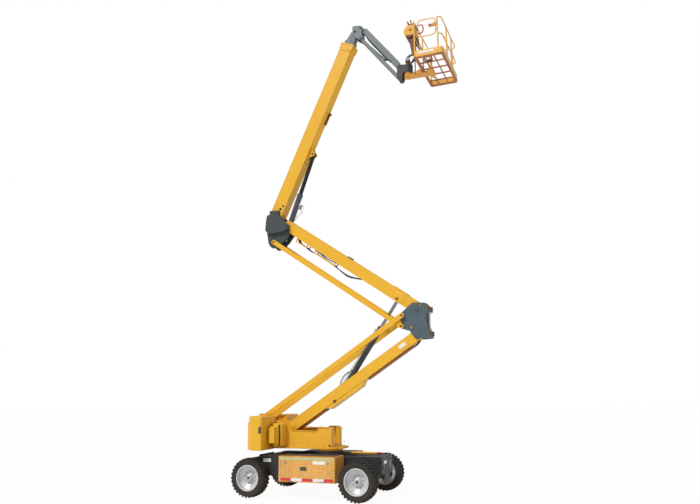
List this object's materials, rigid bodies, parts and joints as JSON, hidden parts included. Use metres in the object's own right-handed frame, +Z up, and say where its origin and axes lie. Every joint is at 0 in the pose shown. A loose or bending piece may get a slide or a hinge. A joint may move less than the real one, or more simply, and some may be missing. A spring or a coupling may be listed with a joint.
{
  "type": "articulating boom lift",
  "caption": "Self-propelled lift with a folding two-boom tower, telescopic main boom, jib and railed work platform on a slewing turntable and a wheeled chassis",
  "frame": {"origin": "on the ground under the middle of the machine's envelope with the booms raised as stored", "axes": "+X forward toward the steered axle and the jib, +Y to the machine's left, +Z up"},
  "size_m": [5.9613, 2.45, 13.1517],
  "materials": {
    "machine_yellow": "gloss yellow paint over steel",
    "chassis_dark": "satin near-black paint",
    "knuckle_grey": "satin blue-grey paint",
    "cover_grey": "dark grey painted cover",
    "tyre_rubber": "black lugged rubber",
    "rim_silver": "silver-white painted steel",
    "cylinder_black": "black painted steel",
    "rod_steel": "hard chrome",
    "bare_steel": "machined steel",
    "engine_grey": "painted castings",
    "platform_yellow": "gloss yellow tube and sheet",
    "console_plastic": "moulded yellow plastic"
  },
  "bodies": {
    "chassis": {"chassis_frame": "chassis_dark", "side_box_right": "machine_yellow", "side_box_left": "machine_yellow", "rear_axle": "chassis_dark", "front_axle": "chassis_dark", "slew_ring": "bare_steel"},
    "steer_right": {"steering_knuckle_right": "chassis_dark"},
    "steer_left": {"steering_knuckle_left": "chassis_dark"},
    "tie_rod": {"tie_rod": "chassis_dark"},
    "wheel_front_right": {"tyre_front_right": "tyre_rubber", "rim_front_right": "rim_silver"},
    "wheel_front_left": {"tyre_front_left": "tyre_rubber", "rim_front_left": "rim_silver"},
    "wheel_rear_right": {"tyre_rear_right": "tyre_rubber", "rim_rear_right": "rim_silver"},
    "wheel_rear_left": {"tyre_rear_left": "tyre_rubber", "rim_rear_left": "rim_silver"},
    "turntable": {"turntable_frame": "machine_yellow", "counterweight": "machine_yellow", "cover_right": "machine_yellow", "engine_block": "engine_grey"},
    "engine_hood": {"engine_hood": "machine_yellow"},
    "lower_boom": {"lower_boom": "machine_yellow"},
    "lower_links": {"lower_links": "machine_yellow"},
    "lower_knuckle": {"lower_knuckle": "knuckle_grey"},
    "riser": {"riser_boom": "machine_yellow"},
    "upper_link": {"upper_link": "machine_yellow"},
    "upper_knuckle": {"upper_knuckle": "cover_grey"},
    "tower_barrel": {"tower_cylinder_barrel": "cylinder_black"},
    "tower_rod": {"tower_cylinder_rod": "rod_steel"},
    "main_boom": {"main_boom": "machine_yellow"},
    "main_barrel": {"main_cylinder_barrel": "cylinder_black"},
    "main_rod": {"main_cylinder_rod": "rod_steel"},
    "extension": {"boom_extension": "knuckle_grey"},
    "jib_head": {"jib_head": "knuckle_grey"},
    "jib_arm": {"jib_arm": "knuckle_grey"},
    "jib_links": {"jib_link": "knuckle_grey"},
    "jib_barrel": {"jib_cylinder_barrel": "cylinder_black"},
    "jib_rod": {"jib_cylinder_rod": "rod_steel"},
    "end_bracket": {"jib_end_bracket": "knuckle_grey"},
    "platform": {"platform_support": "platform_yellow", "platform_floor": "platform_yellow", "platform_rails": "platform_yellow", "control_console": "console_plastic"},
    "gate": {"platform_gate": "platform_yellow"}
  },
  "joints": [
    {"name": "steer", "type": "hinge", "parent": "chassis", "child": "steer_right", "pos_m": [0.47016, -0.86, 0.49], "axis": [0, 0, 1], "range_deg": [-30, 30]},
    {"name": "steer_other_side", "type": "hinge", "parent": "chassis", "child": "steer_left", "pos_m": [0.47016, 0.86, 0.49], "axis": [0, 0, 1], "range_deg": [-30, 30]},
    {"name": "tie_rod_shift", "type": "slide", "parent": "chassis", "child": "tie_rod", "axis": [0, 1, 0], "range_m": [-0.09551, 0.09551]},
    {"name": "wheel_front_right_spin", "type": "hinge", "parent": "steer_right", "child": "wheel_front_right", "pos_m": [0.47016, -1.0475, 0.49], "axis": [0, 1, 0], "continuous": true},
    {"name": "wheel_front_left_spin", "type": "hinge", "parent": "steer_left", "child": "wheel_front_left", "pos_m": [0.47016, 1.0475, 0.49], "axis": [0, 1, 0], "continuous": true},
    {"name": "wheel_rear_right_spin", "type": "hinge", "parent": "chassis", "child": "wheel_rear_right", "pos_m": [-2.48984, -1.0475, 0.49], "axis": [0, 1, 0], "continuous": true},
    {"name": "wheel_rear_left_spin", "type": "hinge", "parent": "chassis", "child": "wheel_rear_left", "pos_m": [-2.48984, 1.0475, 0.49], "axis": [0, 1, 0], "continuous": true},
    {"name": "slew", "type": "hinge", "parent": "chassis", "child": "turntable", "pos_m": [-0.70984, 0, 1], "axis": [0, 0, 1], "continuous": true},
    {"name": "hood_open", "type": "hinge", "parent": "turntable", "child": "engine_hood", "pos_m": [-2.14984, 0.362, 1.64], "axis": [1, 0, 0], "range_deg": [0, 60]},
    {"name": "tower_lift", "type": "hinge", "parent": "turntable", "child": "lower_boom", "pos_m": [-2.13984, 0, 1.46], "axis": [0, -1, 0], "range_deg": [-31.3, 17.2]},
    {"name": "lower_links_turn", "type": "hinge", "parent": "turntable", "child": "lower_links", "pos_m": [-2.51984, 0, 1.965], "axis": [0, -1, 0], "range_deg": [-31.3, 17.2]},
    {"name": "lower_knuckle_level", "type": "hinge", "parent": "lower_boom", "child": "lower_knuckle", "pos_m": [1.81923, 0, 4.01145], "axis": [0, -1, 0], "range_deg": [-17.2, 31.3]},
    {"name": "riser_lift", "type": "hinge", "parent": "lower_knuckle", "child": "riser", "pos_m": [1.82923, 0, 4.69145], "axis": [0, -1, 0], "range_deg": [-17.2, 31.3]},
    {"name": "upper_link_turn", "type": "hinge", "parent": "lower_knuckle", "child": "upper_link", "pos_m": [1.40423, 0, 4.24145], "axis": [0, -1, 0], "range_deg": [-17.2, 31.3]},
    {"name": "upper_knuckle_level", "type": "hinge", "parent": "riser", "child": "upper_knuckle", "pos_m": [-1.91153, 0, 7.28167], "axis": [0, -1, 0], "range_deg": [-31.3, 17.2]},
    {"name": "tower_barrel_turn", "type": "hinge", "parent": "lower_boom", "child": "tower_barrel", "pos_m": [-0.51708, 0, 2.35709], "axis": [0, -1, 0], "range_deg": [-0.68, 0.39]},
    {"name": "tower_rod_slide", "type": "slide", "parent": "tower_barrel", "child": "tower_rod", "axis": [0.5654, 0, 0.8248], "range_m": [-0.79585, 0.43779]},
    {"name": "main_lift", "type": "hinge", "parent": "upper_knuckle", "child": "main_boom", "pos_m": [-2.31153, 0, 7.65167], "axis": [0, -1, 0], "range_deg": [-65, 10]},
    {"name": "main_barrel_turn", "type": "hinge", "parent": "upper_knuckle", "child": "main_barrel", "pos_m": [-2.08953, 0, 6.91967], "axis": [0, -1, 0], "range_deg": [-55.3, 8.55]},
    {"name": "main_rod_slide", "type": "slide", "parent": "main_barrel", "child": "main_rod", "axis": [0.3494, 0, 0.937], "range_m": [-0.7384, 0.11445]},
    {"name": "telescope", "type": "slide", "parent": "main_boom", "child": "extension", "axis": [0.4226, 0, 0.9063], "range_m": [0, 4]},
    {"name": "jib_head_level", "type": "hinge", "parent": "extension", "child": "jib_head", "pos_m": [0.21817, 0, 12.98198], "axis": [0, -1, 0], "range_deg": [-10, 65]},
    {"name": "jib_lift", "type": "hinge", "parent": "jib_head", "child": "jib_arm", "pos_m": [0.39317, 0, 13.06198], "axis": [0, -1, 0], "range_deg": [-7.2, 122.8]},
    {"name": "jib_links_turn", "type": "hinge", "parent": "jib_head", "child": "jib_links", "pos_m": [0.39317, 0, 12.73198], "axis": [0, -1, 0], "range_deg": [-7.2, 122.8]},
    {"name": "end_bracket_level", "type": "hinge", "parent": "jib_arm", "child": "end_bracket", "pos_m": [1.53284, 0, 11.56052], "axis": [0, -1, 0], "range_deg": [-122.8, 7.2]},
    {"name": "jib_barrel_turn", "type": "hinge", "parent": "jib_head", "child": "jib_barrel", "pos_m": [0.39317, 0, 12.73198], "axis": [0, -1, 0], "range_deg": [-7.03, 119.17]},
    {"name": "jib_rod_slide", "type": "slide", "parent": "jib_barrel", "child": "jib_rod", "axis": [0.6437, 0, -0.7652], "range_m": [-0.03518, 0.58397]},
    {"name": "platform_turn", "type": "hinge", "parent": "end_bracket", "child": "platform", "pos_m": [1.76784, 0, 11.56052], "axis": [0, 0, 1], "range_deg": [-80, 80]},
    {"name": "gate_swing", "type": "hinge", "parent": "platform", "child": "gate", "pos_m": [2.80984, -0.895, 11.89052], "axis": [0, 0, -1], "range_deg": [0, 85]}
  ],
  "couplings": [
    {"joint": "steer_other_side", "follows": "steer", "ratio": 1},
    {"joint": "tie_rod_shift", "follows": "steer", "m_per_rad": -0.18145},
    {"joint": "lower_links_turn", "follows": "tower_lift", "ratio": 1},
    {"joint": "lower_knuckle_level", "follows": "tower_lift", "ratio": -1},
    {"joint": "riser_lift", "follows": "tower_lift", "ratio": -1},
    {"joint": "upper_link_turn", "follows": "tower_lift", "ratio": -1},
    {"joint": "upper_knuckle_level", "follows": "tower_lift", "ratio": 1},
    {"joint": "tower_barrel_turn", "follows": "tower_lift", "ratio": 0.02},
    {"joint": "tower_rod_slide", "follows": "tower_lift", "m_per_rad": 1.455},
    {"joint": "main_barrel_turn", "follows": "main_lift", "ratio": 0.85},
    {"joint": "main_rod_slide", "follows": "main_lift", "m_per_rad": 0.65},
    {"joint": "jib_head_level", "follows": "main_lift", "ratio": -1},
    {"joint": "jib_links_turn", "follows": "jib_lift", "ratio": 1},
    {"joint": "end_bracket_level", "follows": "jib_lift", "ratio": -1},
    {"joint": "jib_barrel_turn", "follows": "jib_lift", "ratio": 0.97},
    {"joint": "jib_rod_slide", "follows": "jib_lift", "m_per_rad": 0.272}
  ]
}
